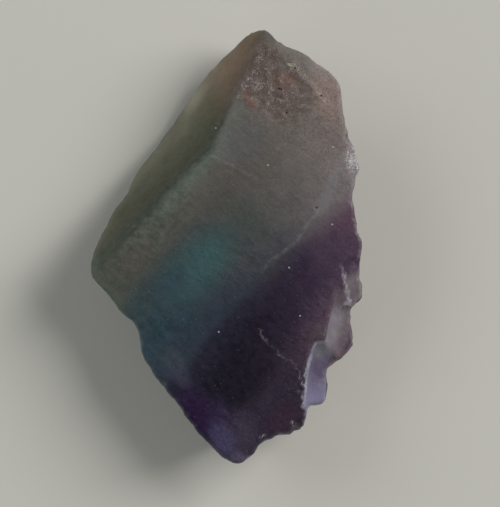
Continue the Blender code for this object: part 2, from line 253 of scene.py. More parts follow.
def soften_chips(mesh):
    """The chips on the right are shell-like: their creases are rounded, their upper edges stay crisp."""
    points, normals = vertex_data(mesh)
    edges = edges_of(mesh)
    height = upper_surface(points)[0]
    x, y, z = points.T
    share = ramp(height - z, 0.08, 0.45) * ramp(rim_distance(points[:, :2]), 0.3, 1.0)
    share *= ramp(normals[:, 2], 0, 0.2)
    share *= ramp(x, 7.0, 7.6) * ramp(y, -17.0, -16.2) * ramp(-y, 0.0, 1.5)
    chip_end = np.exp(-(((x - 9.0) / 0.9) ** 2 + ((y + 9.5) / 0.45) ** 2)) * ramp(z, 7.0, 7.6)
    share = np.maximum(share, chip_end)
    for axis in range(3):
        soft = spread(points[:, axis], edges, 30)
        points[:, axis] += share * (soft - points[:, axis])
    mesh.vertices.foreach_set("co", points.astype(np.float32).ravel())
    mesh.update()


def relief(mesh):
    """The points moved along their normals, and the masks that the material reads."""
    points, normals = vertex_data(mesh)
    edges = edges_of(mesh)
    height, out, _, along = upper_surface(points)
    plan, up = points[:, :2], normals[:, 2]
    gap = np.abs(points[:, 2] - height)
    least = np.where(out > 0, 0.3, 0.10)
    most = np.where(out > 0, 0.7, 0.26)
    upper = (1 - ramp(gap, least, most)) * ramp(up, 0.25, 0.45)
    top = upper * (1 - ramp(out, -0.1, 0.1))
    base = ramp(-up, 0.9, 0.97)
    broken = (1 - upper) * (1 - base)
    in_crust = into(plan, CRUST) - FAR * (1 - ramp(up, 0.2, 0.4))
    crust = ramp(in_crust + 0.5 * lumps(points, 0.9, 2, 7.0), -0.5, 0.4)

    # faint waves and brush strokes
    strokes = streaks(along, out, 2.2, 0.55, 5)
    patchy = 0.35 + 0.65 * ramp(lumps(points, 0.16, 2, 31.0), -0.15, 0.35)
    move = 0.030 * lumps(points, 0.22, 2, 11.0) + 0.010 * lumps(points, 1.9, 3, 3.0)
    move += 0.020 * strokes * top * (1 - crust) * patchy

    # conchoidal hackle on the fractures
    hackle = lumps(points, 0.55, 4, 17.0, (1, 1, 0.45))
    steps = np.abs(lumps(points, 0.42, 2, 23.0, (1, 1, 0.6)))
    splinters = np.abs(lumps(points, 1.3, 2, 29.0, (1, 1, 0.35)))
    deep = 0.2 + 0.8 * ramp(height - points[:, 2], 0.3, 1.8)
    move += broken * deep * (0.075 * hackle + 0.10 * (0.4 - steps) + 0.05 * (0.3 - splinters))

    # cleavage steps across the broken walls, well below the edges seen from above
    wall = broken * ramp(height - points[:, 2], 1.5, 3.5) * ramp(points[:, 2], 0.1, 0.8)
    for way, wide, drop, seed in CLEAVAGE_STEPS:
        turns = points @ np.array(way) / wide + 0.7 * lumps(points, 0.18, 2, seed)
        share = turns - np.floor(turns)
        move += wall * drop * (share - ramp(share, 0.85, 1.0) - 0.35)

    # the etched patch, shallow and grainy
    move += crust * (0.03 * lumps(points, 1.1, 3, 53.0) + 0.04 * lumps(points, 2.6, 2, 57.0))
    for pit in PITS:
        move -= 0.12 * np.exp(-((np.linalg.norm(plan - np.array(pit), axis=1) / 0.17) ** 2)) * (up > 0.5)

    # crushed grains and a bulge on the right shoulder, and nicks all along the sharp edges
    crushed = np.exp(-(((plan - np.array(CRUSHED)) / (0.8, 1.2)) ** 2).sum(axis=1)) * ramp(points[:, 2], 6, 8)
    move += crushed * 0.16 * (cells(points, 2.2, 2.0) - 0.35)
    shoulder = np.exp(-(((plan - np.array(SHOULDER)) / SHOULDER_SIZE) ** 2).sum(axis=1))
    move += SHOULDER_OUT * shoulder * (1 - upper) * ramp(points[:, 2], 4, 6)
    sharp = spread(sharpness(points, normals, edges), edges, 2)
    nicks = ramp(lumps(points, 1.1, 3, 71.0), 0.05, 0.45)
    move -= 0.06 * nicks * ramp(sharp, 0.5, 1.6) * ramp(points[:, 2], 0.2, 0.5)

    # the marks' distances, along slightly wandering lines
    noise.seed_set(7)  # noise_vector takes its seed from the clock otherwise; the other noises use none
    wobble = np.array([noise.noise_vector(Vector(p) * 2.3) for p in points])[:, :2]
    off_ledge = FAR * (1 - ramp(points[:, 2], 5.5, 6.5))
    off_top = FAR * (1 - ramp(points[:, 2], 8.0, 8.5))
    crack = from_line(plan + 0.12 * wobble, CRACK)
    move -= 0.02 * np.exp(-((crack / 0.14) ** 2)) * top
    masks = {
        "out": out,
        "upper": upper,
        "broken": broken,
        "in_crust": in_crust,
        "crack": crack,
        "seam": from_line(plan + 0.35 * wobble, SEAM),
        "veil": from_line(plan, VEIL_LINE),
        "streak": from_line(plan, STREAK),
        "ledge_lip": from_line(plan + 0.3 * wobble, LEDGE_LIP) + off_ledge,
        "lip": from_line(plan + 0.3 * wobble, LIP) + off_top,
        "step_line": from_line(plan + 0.2 * wobble, STEP_LINE),
        "crushed": crushed,
        "rim": rim_distance(plan),
        "sharp": spread(sharp, edges, 1),
    }
    return points + normals * move[:, None], masks


def edges_of(mesh):
    edges = np.empty(len(mesh.edges) * 2, np.int32)
    mesh.edges.foreach_get("vertices", edges)
    return edges.reshape(-1, 2)


def vertex_data(mesh):
    points = np.empty(len(mesh.vertices) * 3, np.float32)
    normals = np.empty_like(points)
    mesh.vertices.foreach_get("co", points)
    mesh.vertex_normals.foreach_get("vector", normals)
    return points.reshape(-1, 3).astype(float), normals.reshape(-1, 3).astype(float)


def unfold(mesh, points, rounds=12):
    """Relax the few spots where the relief has folded the surface over itself."""
    edges = edges_of(mesh)
    quads = np.empty(len(mesh.loops), np.int32)
    mesh.loops.foreach_get("vertex_index", quads)
    quads = quads.reshape(-1, 4)
    for _ in range(rounds):
        corners = points[quads]
        ahead = np.roll(corners, -1, axis=1) - corners
        behind = np.roll(corners, 1, axis=1) - corners
        facing = np.cross(ahead, behind)
        facing /= np.maximum(np.linalg.norm(facing, axis=2, keepdims=True), 1e-12)
        outward = np.zeros_like(points)
        for corner in range(4):
            for axis in range(3):
                weights = facing[:, corner, axis]
                outward[:, axis] += np.bincount(quads[:, corner], weights, len(points))
        outward /= np.maximum(np.linalg.norm(outward, axis=1, keepdims=True), 1e-12)
        whole = facing.sum(axis=1, keepdims=True)
        whole /= np.maximum(np.linalg.norm(whole, axis=2, keepdims=True), 1e-12)
        askew = (facing * whole).sum(axis=2).min(axis=1) < 0.3
        tucked = (outward[quads] * whole).sum(axis=2).min(axis=1) < 0.2
        loose = np.zeros(len(points))
        loose[quads[askew | tucked].ravel()] = 1.0
        loose = np.clip(2.5 * spread(loose, edges, 1), 0, 1) * (points[:, 2] > RESTING)
        soft = np.stack([spread(points[:, axis], edges, 2) for axis in range(3)], axis=1)
        points = points + loose[:, None] * (soft - points)
    return points


def carve(mesh):
    """Give the mesh its relief and its masks, inside the box of the solid, and turn it into metres."""
    resting = vertex_data(mesh)[0][:, 2] < RESTING
    level(mesh)
    soften_chips(mesh)
    flat = vertex_data(mesh)[0]
    points, masks = relief(mesh)
    points[resting] = flat[resting]
    points = unfold(mesh, points)
    points = np.clip(points, np.array(cad_low) / MM, np.array(cad_high) / MM)
    mesh.vertices.foreach_set("co", (points * MM).astype(np.float32).ravel())
    for name, values in masks.items():
        attribute = mesh.attributes.new(name, "FLOAT", "POINT")
        attribute.data.foreach_set("value", values.astype(np.float32))
    mesh.polygons.foreach_set("use_smooth", np.ones(len(mesh.polygons), bool))
    mesh.update()


mesh = fine_mesh(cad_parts["fluorite"])
carve(mesh)
stone = bpy.data.objects.new("fluorite_stone", mesh)
bpy.context.scene.collection.objects.link(stone)

# ---------------------------------------------------------------- colours
# Each colour is what is seen, 0 to 255. base_colour takes off the veil of the frosted surface and the light
# that falls on a face that looks up. On the bevel, which is more askew, the veil is thicker.
ON_TOP = (0.0083, 0.685)
ON_BEVEL = (0.025, 0.48)
SAGE = (62, 65, 58)
SEA_GREEN = (72, 74, 67)
DULL_TEAL = (69, 72, 67)
TEAL_GREY = (53, 65, 68)
SLATE_TEAL = (44, 60, 68)
SLATE = (45, 52, 63)
NIGHT = (34, 33, 46)
DEEP_PURPLE = (27, 23, 34)
DUSK = (44, 37, 49)
MINT = (84, 93, 85)
ROSY_GREY = (84, 82, 77)
STONE_GREY = (75, 74, 70)
OLIVE_GREY = (67, 71, 68)
HAZE_GREY = (70, 69, 72)
PLUM = (53, 42, 60)
MAUVE = (80, 64, 78)
SAND = (98, 92, 88)
WARM_GREY = (106, 98, 95)
ROSE_GREY = (115, 107, 107)
DUSTY_PLUM = (92, 72, 84)
TEAL_GLOW = (57, 84, 85)
VIOLET = (39, 28, 53)
RIDGE_SPLINTERS = (94, 105, 97)
RIDGE_CRUMBS = (98, 106, 98)
RIM_SAGE = (104, 105, 92)
RIM_LINE = (128, 130, 116)
BEVEL_GLOW = (136, 132, 118)
THIN_RIM = (92, 102, 94)
CORNER_SAGE = (75, 82, 72)
CHIP_WHITE = (124, 121, 128)
CHIP_GREY = (93, 84, 90)
CHIP_LAVENDER = (114, 110, 137)
CHIP_PURPLE = (82, 73, 96)
CHIP_DULL = (98, 96, 106)
CHIP_INNER = (120, 118, 138)
CHIP_TOP = (142, 145, 157)
CHIP_DARK = (84, 75, 82)
LEDGE = (106, 98, 102)
LEDGE_END = (150, 148, 154)
LIT_CHIP_END = (124, 120, 128)
HOLLOW_RED = (82, 58, 66)
HOLLOW_PALE = (110, 91, 97)
CRUST_PINK = (98, 87, 82)
CRUST_BROWN = (82, 69, 63)
CRUST_PALE = (160, 156, 157)
CRUST_DARK = (48, 39, 35)
RUST = (106, 72, 63)
CREAM = (160, 152, 148)
HEALED = (112, 112, 116)
PIT_BLACK = (26, 20, 22)
EDGE_HIGHLIGHT = (132, 130, 134)
LIP_WHITE = (158, 157, 170)
SPLINTER_WHITE = (156, 155, 160)
FRAYED_SPARKLE = (146, 138, 144)
CRUSHED_WHITE = (160, 158, 160)
SPARK = (208, 208, 212)
DUST_AND_SPARKLE = (176, 178, 184)

# Colours by distance into the crystal, in the lower left, the middle and the upper right of the stone
# painted light: the lower left ramp is the zones in shade, the upper right ramp the zones lit, lighter and
# warmer
SHADED_LOWER_LEFT_ZONES = [
    (-9.5, SAGE), (-7, SEA_GREEN), (-5, DULL_TEAL), (-3, TEAL_GREY), (0.5, SLATE_TEAL), (3.9, SLATE),
    (5.5, NIGHT), (8, DEEP_PURPLE), (11, DEEP_PURPLE), (13.2, DUSK), (16, DUSK),
]  # fmt: skip
MIDDLE = [
    (-7.4, MINT), (-5.4, ROSY_GREY), (-3.6, STONE_GREY), (0, OLIVE_GREY), (4.2, HAZE_GREY), (6.6, PLUM),
    (9.2, PLUM), (12.3, MAUVE),
]  # fmt: skip
LIT_UPPER_RIGHT_ZONES = [(-7, SAND), (-3, SAND), (0, WARM_GREY), (5.2, ROSE_GREY), (7.5, DUSTY_PLUM), (11, MAUVE)]
EDGE_GLOW = [
    (-4, (88, 100, 98)), (2, (76, 98, 104)), (6, (78, 82, 104)), (9, (100, 88, 134)), (16, (122, 114, 148)),
]  # fmt: skip

# Colours of the bevel by distance outside the ridge: painted shade beside the ridge, painted light through
# the thin rim
BEVEL_GREEN = [(0.2, (62, 66, 60)), (1.0, (65, 67, 58)), (2.1, (74, 75, 65)), (3.5, (91, 91, 80))]
BEVEL_WARM = [(0.2, (82, 74, 67)), (1.4, (96, 83, 72)), (2.6, (104, 92, 80)), (3.4, (114, 104, 90))]
BEVEL_GREY = [(0.2, (66, 70, 64)), (1.0, (74, 76, 68)), (2.1, (85, 87, 76)), (3.5, (94, 95, 84))]

# Local tints: middle, half sizes, turn in degrees, colour, strength
TINTS = [
    ((-2.9, -1.9), (6.8, 3.7), 50, (55, 77, 79), 0.85),
    ((-9.1, -1.4), (3.2, 2.0), 50, (80, 76, 71), 0.55),
    ((-2.1, -1.3), (3.4, 2.2), 50, TEAL_GLOW, 0.5),
    ((-5.2, -3.6), (2.6, 1.8), 50, (46, 64, 74), 0.6),
    ((-5.2, -11.4), (2.6, 1.7), 128, (58, 65, 72), 0.7),
    ((-3.3, -15.4), (3.1, 2.1), 135, VIOLET, 0.9),
    ((-4.6, -12.9), (1.9, 1.2), 128, (55, 56, 71), 0.7),
    ((-2.3, -17.4), (3.2, 1.8), 128, (38, 24, 52), 0.9),
    ((-0.6, -16.6), (2.4, 1.5), 128, (46, 37, 62), 0.7),
    ((5.6, -17.2), (2.8, 2.0), 30, (54, 37, 51), 0.7),
    ((3.9, -15.7), (1.7, 1.5), 100, (47, 43, 56), 0.6),
    ((1.8, 10.6), (4.0, 3.0), 60, (80, 82, 83), 0.6),
    # painted light: the facet on the right shoulder, lighter and warmer where it catches the light
    ((9.9, 15.0), (2.4, 4.6), 20, (126, 110, 104), 0.8),
    ((11.2, -5.0), (1.0, 1.5), -15, (92, 86, 92), 0.5),
    ((9.3, -8.8), (1.0, 1.8), -8, (78, 71, 74), 0.6),
]
# Cloudy lavender glow in the lower tip, where the stone is thin: the same columns
GLOWS = [
    ((1.4, -18.6), (3.6, 2.8), 110, (59, 51, 67), 0.8),
    ((-0.4, -19.2), (3.0, 1.6), 122, (65, 61, 88), 0.9),
    ((1.3, -21.2), (1.3, 1.2), 0, (80, 73, 93), 0.7),
]
# Stains on the etched patch: middle, half sizes, turn, colour
CRUST_STAINS = [
    ((2.35, 14.35), (0.42, 1.15), 38, (108, 72, 64)),
    ((1.95, 15.2), (0.4, 0.5), 0, (100, 72, 64)),
    ((6.35, 18.05), (0.62, 0.3), -20, (158, 152, 130)),
]
# Splintered places along the broken edges: middle, half sizes, turn
SPLINTERS = [
    ((7.45, -13.6), (0.25, 0.5), 10),
    ((9.8, -11.7), (0.3, 0.55), 0),
    ((6.6, -17.6), (0.4, 0.5), -20),
    ((3.6, -18.9), (0.6, 0.3), 30),
    ((13.3, -3.6), (0.25, 0.5), 0),
]
THROUGH = 9  # half height of a tint that goes right through the stone
ZONE_LEAN = 0.577  # how much further into the crystal a place lies for each millimetre below the top


def linear(c):
    c /= 255
    return c / 12.92 if c <= 0.04045 else ((c + 0.055) / 1.055) ** 2.4


def base_colour(seen, light=ON_TOP):
    veil, daylight = light
    return (*(max(linear(c) - veil, 0.0008) / daylight for c in seen), 1)


class Net:
    """Short ways to add shader nodes, the patterns that are shared, and the colour as painted so far."""

    def __init__(self, material):
        material.use_nodes = True
        self.tree = material.node_tree
        self.shader = self.tree.nodes["Principled BSDF"]
        scaled = self.node("ShaderNodeMapping")
        scaled.inputs["Scale"].default_value = (1000, 1000, 1000)
        self.feed(scaled.inputs[0], self.node("ShaderNodeTexCoord").outputs["Object"])
        self.place = scaled.outputs[0]
        self.x, self.y, self.z = self.along((1, 0, 0)), self.along((0, 1, 0)), self.along((0, 0, 1))
        self.upper = self.attribute("upper")
        self.broken = self.attribute("broken")
        self.out = self.attribute("out")
        self.rim = self.attribute("rim")
        self.sharp = self.attribute("sharp")
        self.to_right = self.smooth(self.x, 3, 11)
        self.add_patterns()
        self.colour = None

    def add_patterns(self):
        """Noises, and how far a place lies into the crystal (zone) and up along a zone (side)."""
        deep = self.plus(self.along((0.766, -0.643, -ZONE_LEAN)), ZONE_LEAN * TOP_HEIGHT)
        side = self.along((0.643, 0.766, 0))
        brushed = self.node("ShaderNodeCombineXYZ")
        self.feed(brushed.inputs[0], self.times(deep, 0.9))
        self.feed(brushed.inputs[1], self.times(side, 3.2))
        self.feed(brushed.inputs[2], self.noise(0.5, 2))
        self.strokes = self.noise(1.0, 4, 0.65, brushed.outputs[0])
        scratched = self.node("ShaderNodeCombineXYZ")
        self.feed(scratched.inputs[0], self.times(self.along((0.438, 0.899, 0)), 2.6))
        self.feed(scratched.inputs[1], self.times(self.along((-0.899, 0.438, 0)), 7.0))
        self.scratches = self.noise(1.0, 4, 0.75, scratched.outputs[0])
        self.cloud = self.noise(0.8, 5, 0.65)
        self.thin = self.noise(1.4, 3, 0.6)
        self.grit = self.noise(1.9, 2, 0.5)
        self.grains = self.noise(7.0, 3, 0.75)
        wander = self.math("SUBTRACT", self.noise(0.20, 3), 0.5)
        self.zone = self.plus(deep, self.times(wander, 1.3), self.centred(self.strokes, 1.2))
        self.side = self.plus(side, self.times(wander, 3.0))

    def node(self, kind, **settings):
        made = self.tree.nodes.new(kind)
        for name, value in settings.items():
            setattr(made, name, value)
        return made

    def feed(self, socket, value):
        if isinstance(value, bpy.types.NodeSocket):
            self.tree.links.new(value, socket)
        elif isinstance(value, tuple) and len(value) == 3 and socket.type == "RGBA":
            socket.default_value = base_colour(value)
        else:
            socket.default_value = value

    def attribute(self, name):
        return self.node("ShaderNodeAttribute", attribute_name=name).outputs["Fac"]

    def math(self, operation, *values, clamp=False):
        made = self.node("ShaderNodeMath", operation=operation, use_clamp=clamp)
        for socket, value in zip(made.inputs, values, strict=False):
            self.feed(socket, value)
        return made.outputs[0]

    def times(self, product, *others):
        for other in others:
            product = self.math("MULTIPLY", product, other)
        return product

    def plus(self, total, *others):
        for other in others:
            total = self.math("ADD", total, other)
        return total

    def centred(self, pattern, reach):
        """A pattern from 0 to 1, moved to lie about zero and made this wide."""
        return self.times(self.math("SUBTRACT", pattern, 0.5), reach)

    def smooth(self, value, low, high, to_low=0.0, to_high=1.0):
        made = self.node("ShaderNodeMapRange", interpolation_type="SMOOTHSTEP")
        for socket, v in zip(made.inputs, (value, low, high, to_low, to_high), strict=False):
            self.feed(socket, v)
        return made.outputs[0]

    def mix(self, share, a, b, blend="MIX"):
        made = self.node("ShaderNodeMix", data_type="RGBA", blend_type=blend, clamp_factor=True)
        self.feed(made.inputs[0], share)
        self.feed(made.inputs[6], a)
        self.feed(made.inputs[7], b)
        return made.outputs[2]

    def paint(self, tint, *shares):
        """Lay a colour over the stone, as strongly as the product of the shares."""
        self.colour = self.mix(self.times(*shares), self.colour, tint)

    def zones(self, value, stops, light=ON_TOP):
        """A colour ramp over (place, colour) stops, in millimetres."""
        low, high = stops[0][0], stops[-1][0]
        fraction = self.node("ShaderNodeMapRange")
        for socket, v in zip(fraction.inputs, (value, low, high, 0.0, 1.0), strict=False):
            self.feed(socket, v)
        made = self.node("ShaderNodeValToRGB")
        made.color_ramp.interpolation = "EASE"
        elements = made.color_ramp.elements
        while len(elements) < len(stops):
            elements.new(0.5)
        for element, (place, colour) in zip(elements, stops, strict=True):
            element.position = (place - low) / (high - low)
            element.color = base_colour(colour, light)
        self.feed(made.inputs[0], fraction.outputs[0])
        return made.outputs[0]

    def noise(self, scale, detail=2.0, roughness=0.5, place=None):
        made = self.node("ShaderNodeTexNoise")
        self.feed(made.inputs["Vector"], place or self.place)
        made.inputs["Scale"].default_value = scale
        made.inputs["Detail"].default_value = detail
        made.inputs["Roughness"].default_value = roughness
        return made.outputs[0]

    def scattered(self, scale):
        """Distance to the nearest of some scattered points, and three random numbers of that point."""
        made = self.node("ShaderNodeTexVoronoi")
        self.feed(made.inputs["Vector"], self.place)
        made.inputs["Scale"].default_value = scale
        own = self.node("ShaderNodeSeparateColor")
        self.feed(own.inputs[0], made.outputs["Color"])
        return made.outputs["Distance"], own.outputs

    def along(self, way):
        made = self.node("ShaderNodeVectorMath", operation="DOT_PRODUCT")
        self.feed(made.inputs[0], self.place)
        made.inputs[1].default_value = way
        return made.outputs["Value"]

    def nearest(self, spots):
        """Distance in plan to the nearest of some spots."""
        flat = self.node("ShaderNodeVectorMath", operation="MULTIPLY")
        self.feed(flat.inputs[0], self.place)
        flat.inputs[1].default_value = (1, 1, 0)
        distance = 99.0
        for x, y in spots:
            apart = self.node("ShaderNodeVectorMath", operation="DISTANCE")
            self.feed(apart.inputs[0], flat.outputs[0])
            apart.inputs[1].default_value = (x, y, 0)
            distance = self.math("MINIMUM", apart.outputs["Value"], distance)
        return distance

    def blob(self, centre, size, turn=0.0, edge=0.25):
        """1 inside an ellipsoid, fading to 0 at its edge."""
        made = self.node("ShaderNodeMapping", vector_type="TEXTURE")
        self.feed(made.inputs[0], self.place)
        made.inputs["Location"].default_value = centre
        made.inputs["Rotation"].default_value = (0, 0, math.radians(turn))
        made.inputs["Scale"].default_value = size
        length = self.node("ShaderNodeVectorMath", operation="LENGTH")
        self.feed(length.inputs[0], made.outputs[0])
        return self.smooth(length.outputs["Value"], 1.0, edge)


def paint_crystal(net):
    """The colour zones, changing from a painted shaded copy in the lower left to a lit one in the upper
    right, and local tints.
    """
    shaded_lower_left, middle, lit_upper_right = (net.zones(net.zone, s) for s in (SHADED_LOWER_LEFT_ZONES, MIDDLE, LIT_UPPER_RIGHT_ZONES))
    # the dark zone reaches further up the stone than the others
    reach = net.times(net.smooth(net.zone, 2.0, 4.5, 0, 2.2), net.smooth(net.zone, 9.0, 7.0))
    # painted light: the zones go from their shaded copy to their lit copy, up the stone
    net.colour = net.mix(net.smooth(net.math("SUBTRACT", net.side, reach), -8.5, 5.5), shaded_lower_left, middle)
    net.paint(lit_upper_right, net.math("MULTIPLY_ADD", net.side, 0.104, -0.375, clamp=True))
    for centre, size, turn, tint, strength in TINTS:
        net.paint(tint, net.blob((*centre, 8), (*size, THROUGH), turn), strength)
    for centre, size, turn, tint, strength in GLOWS:
        spot = net.blob((*centre, 8), (*size, THROUGH), turn, 0.2)
        net.paint(tint, spot, net.smooth(net.cloud, 0.3, 0.7, 0.75, 1.1), strength)


def paint_frosting(net):
    """Faint brush strokes across the zones, a fine mottle, and pebbles beside the ridge as painted highlights
    and shade.
    """
    brushed_patch = net.plus(net.blob((1.0, -2.2, 8), (5, 4, THROUGH), 0, 0.3), 0.6)
    mottle_and_pebble_shading = net.times(net.smooth(net.strokes, 0.3, 0.7, -0.14, 0.12), brushed_patch)
    haze = net.times(net.blob((-6.6, -8.0, 8), (5.5, 3.6, THROUGH), 125, 0.2), 0.16)
    mottle_and_pebble_shading = net.plus(mottle_and_pebble_shading, net.times(net.smooth(net.thin, 0.38, 0.62, -1.0, 1.0), haze))
    mottle_and_pebble_shading = net.plus(mottle_and_pebble_shading, net.smooth(net.cloud, 0.3, 0.7, 0.93, 1.07))
    fine = net.smooth(net.noise(4.2, 4, 0.8), 0.3, 0.7, -0.14, 0.14)
    coarser_up = net.smooth(net.side, 9.5, 13.0, 1.0, 2.0)
    coarser_deep = net.smooth(net.zone, 6.0, 12.0, 1.0, 2.4)
    mottle_and_pebble_shading = net.plus(mottle_and_pebble_shading, net.times(fine, net.math("MAXIMUM", coarser_up, coarser_deep)))
    # painted light: lighter and darker spots stand for the light and shade on pebbly bumps
    bright, dark = net.smooth(net.grit, 0.55, 0.64, 0, 0.20), net.smooth(net.grit, 0.45, 0.36, 0, 0.16)
    beside_ridge = net.blob((-7.2, 1.6, 8), (8, 2.8, THROUGH), 49, 0.5)
    mottle_and_pebble_shading = net.plus(mottle_and_pebble_shading, net.times(net.math("SUBTRACT", bright, dark), beside_ridge))
    net.colour = net.mix(1.0, net.colour, mottle_and_pebble_shading, "MULTIPLY")


def paint_bevel(net):
    """Painted shade by the ridge, painted light towards the thin rim, warm at the top, and a frayed edge."""
    side, out, rim, thin = net.side, net.out, net.rim, net.thin
    frayed = net.plus(out, net.centred(net.noise(0.8, 4, 0.7), 1.6), net.centred(net.strokes, 0.8))
    worn_back = net.smooth(side, -7.0, 6.5, 0.56, 0.08)
    worn_back = net.math("SUBTRACT", worn_back, net.smooth(side, 8.0, 12.0, 0, 0.3))
    on_bevel = net.times(net.smooth(net.plus(frayed, worn_back), -0.4, 0.4), net.upper)
    chipped = net.plus(net.times(net.strokes, 0.45), net.times(thin, 0.55))
    chipped = net.times(net.smooth(chipped, 0.46, 0.58), net.smooth(out, -2.4, -0.5))
    chipped = net.times(chipped, net.smooth(side, -9, -3, 0.2, 0.42))
    net.paint(RIDGE_SPLINTERS, chipped, net.smooth(side, 14, 9))

    # painted shade and light: darkest beside the ridge, lighter towards the thin rim that light shows through
    green, warm, grey = (net.zones(out, s, ON_BEVEL) for s in (BEVEL_GREEN, BEVEL_WARM, BEVEL_GREY))
    green = net.mix(net.smooth(side, -3.5, -9.5), green, grey)
    slope = net.mix(net.smooth(side, 7.5, 15), green, warm)
    mottle = net.smooth(net.noise(0.45, 4, 0.6), 0.3, 0.7, 0.90, 1.10)
    slope = net.mix(1.0, slope, mottle, "MULTIPLY")
    # painted light: the thin rim paler, and a painted highlight along its very edge
    slope = net.mix(net.smooth(rim, 0.9, 0.1, 0, 0.5), slope, RIM_SAGE)
    rim_line = net.times(net.smooth(rim, 0.3, 0.1, 0, 0.5), net.smooth(thin, 0.4, 0.6, 0.4, 1.2))
    slope = net.mix(rim_line, slope, RIM_LINE)
    slope = net.mix(net.blob((-3.4, 14.9, 5), (3.0, 1.2, THROUGH), 57, 0.0), slope, BEVEL_GLOW)
    by_ridge = net.smooth(net.math("ABSOLUTE", net.plus(out, -0.3)), 0.9, 0.2)
    crumbs = net.times(net.smooth(net.grit, 0.56, 0.63), by_ridge, net.smooth(net.cloud, 0.46, 0.58))
    slope = net.mix(net.times(crumbs, net.smooth(side, 12, 8, 0, 0.3)), slope, RIDGE_CRUMBS)
    net.paint(slope, on_bevel)


def paint_left_rims(net):
    """The thin rim and corner on the left, painted pale as light, and the light through the lower left edge.
    """
    side, rim, off_bevel = net.side, net.rim, net.smooth(net.out, 0, -0.5)
    # painted light: the thin rim and the corner lighter, where light shows through and the rounded edge is
    # shaded
    net.paint(THIN_RIM, net.smooth(rim, 0.7, 0.1, 0, 0.4), net.smooth(side, -4, -9), off_bevel)
    corner = net.times(net.smooth(rim, 1.5, 0.7), net.smooth(net.zone, -3.2, -5.2))
    corner = net.times(corner, net.smooth(side, -7.5, -9.5), net.smooth(net.thin, 0.35, 0.6, 0.4, 0.8))
    net.paint(CORNER_SAGE, corner, off_bevel)
    lit = net.times(net.smooth(rim, 0.45, 0.05), net.smooth(side, -2.5, -5.5))
    lit = net.times(lit, net.smooth(net.sharp, 0.0, 0.8, 0.5, 0.9), net.smooth(net.z, 5.5, 7.5))
    net.paint(net.zones(net.zone, EDGE_GLOW), lit)


def paint_chips(net):
    """Fractures scatter more light; the chips on the right are painted palest, partly as the side the light
    falls on.
    """
    x, y, cloud, broken = net.x, net.y, net.cloud, net.broken
    # painted light: fractures paler towards the right, where the light falls
    net.paint(CHIP_WHITE, broken, net.times(net.smooth(cloud, 0.4, 0.75, 0.0, 0.3), net.to_right))
    low_chip = net.mix(net.smooth(y, -15.2, -12.4), CHIP_LAVENDER, CHIP_PURPLE)
    low_chip = net.mix(net.smooth(y, -12.0, -10.2), low_chip, CHIP_DULL)
    low_chip = net.mix(net.smooth(cloud, 0.45, 0.7, 0, 0.4), low_chip, CHIP_WHITE)
    low_chip = net.mix(net.smooth(x, 8.9, 8.0, 0, 0.45), low_chip, CHIP_INNER)
    low_chip = net.mix(net.blob((8.15, -10.9, 8), (0.5, 0.7, 2), 0, 0.2), low_chip, CHIP_TOP)
    net.paint(low_chip, net.blob((9.0, -13.0, 8), (2.2, 4.8, 4), 0, 0.75), broken, 0.9)
    high_chip = net.mix(net.smooth(net.along((0.94, -0.34, 0)), 12.6, 14.2), CHIP_WHITE, CHIP_GREY)
    high_chip = net.mix(net.smooth(y, -7.4, -5.2), high_chip, CHIP_DARK)
    high_chip = net.mix(net.smooth(cloud, 0.42, 0.62, 0.35, 0), high_chip, CHIP_GREY)
    net.paint(high_chip, net.blob((10.9, -7.6, 8), (1.8, 3.6, 4), 0, 0.7), broken, 0.9)
    net.paint(LEDGE, net.blob((12.8, -4.4, 8), (1.5, 2.2, 4), 0, 0.5), broken, 0.8)
    net.paint(HOLLOW_RED, net.blob((10.35, -11.35, 8), (0.38, 0.75, 3), -20, 0.2), 0.8)
    net.paint(HOLLOW_PALE, net.blob((11.4, -10.7, 8), (0.9, 0.7, 3), 0, 0.2), 0.6)
    # painted light: the shaded end wall at the top of the low chip painted pale
    net.paint(LIT_CHIP_END, net.blob((9.3, -9.4, 8), (1.2, 0.45, 3), 0, 0.2), broken, 0.8)
    net.paint(LEDGE_END, net.blob((12.05, -5.75, 8), (0.6, 0.5, 3), 0, 0.2), broken, 0.8)


def paint_etched_patch(net):
    """Pale grains over pinkish brown, dark grains, and rusty and cream stains. Returns where the patch is."""
    ragged = net.centred(net.noise(0.9, 5, 0.7), 5.0)
    crust = net.smooth(net.plus(net.attribute("in_crust"), ragged), -0.6, 0.9)
    crust = net.times(crust, net.smooth(net.plus(net.out, net.times(net.cloud, 0.8)), 1.2, 0.5))
    rind = net.mix(net.smooth(net.noise(1.1, 4, 0.8), 0.38, 0.64), CRUST_PINK, CRUST_BROWN)
    rusty = net.blob((5.9, 16.5, 9), (2.8, 1.7, 3), 20, 0.0)
    rind = net.mix(net.times(rusty, net.smooth(net.cloud, 0.40, 0.6, 0.15, 0.7)), rind, RUST)
    line = net.smooth(net.attribute("streak"), 0.45, 0.05, 0, 0.14)
    bluish = net.blob((2.7, 16.2, 9), (1.7, 1.3, 3), 30, 0.1)
    pale = net.math("MAXIMUM", net.plus(net.grains, line), net.math("SUBTRACT", net.scratches, 0.02))
    pale = net.plus(pale, net.times(bluish, 0.06), net.smooth(net.thin, 0.4, 0.7, -0.05, 0.05))
    rind = net.mix(net.smooth(pale, 0.54, 0.67, 0, 0.75), rind, CRUST_PALE)
    rind = net.mix(net.smooth(net.noise(5.5, 3, 0.8), 0.47, 0.37, 0, 0.65), rind, CRUST_DARK)
    net.paint(rind, crust, 0.85)
    for centre, size, turn, tint in CRUST_STAINS:
        spot = net.blob((*centre, 9), (*size, 3), turn, 0.0)
        stain = net.times(spot, net.smooth(net.grains, 0.35, 0.65, 0.3, 1.7))
        net.paint(tint, net.smooth(stain, 0.15, 0.65, 0, 0.8))
    return crust


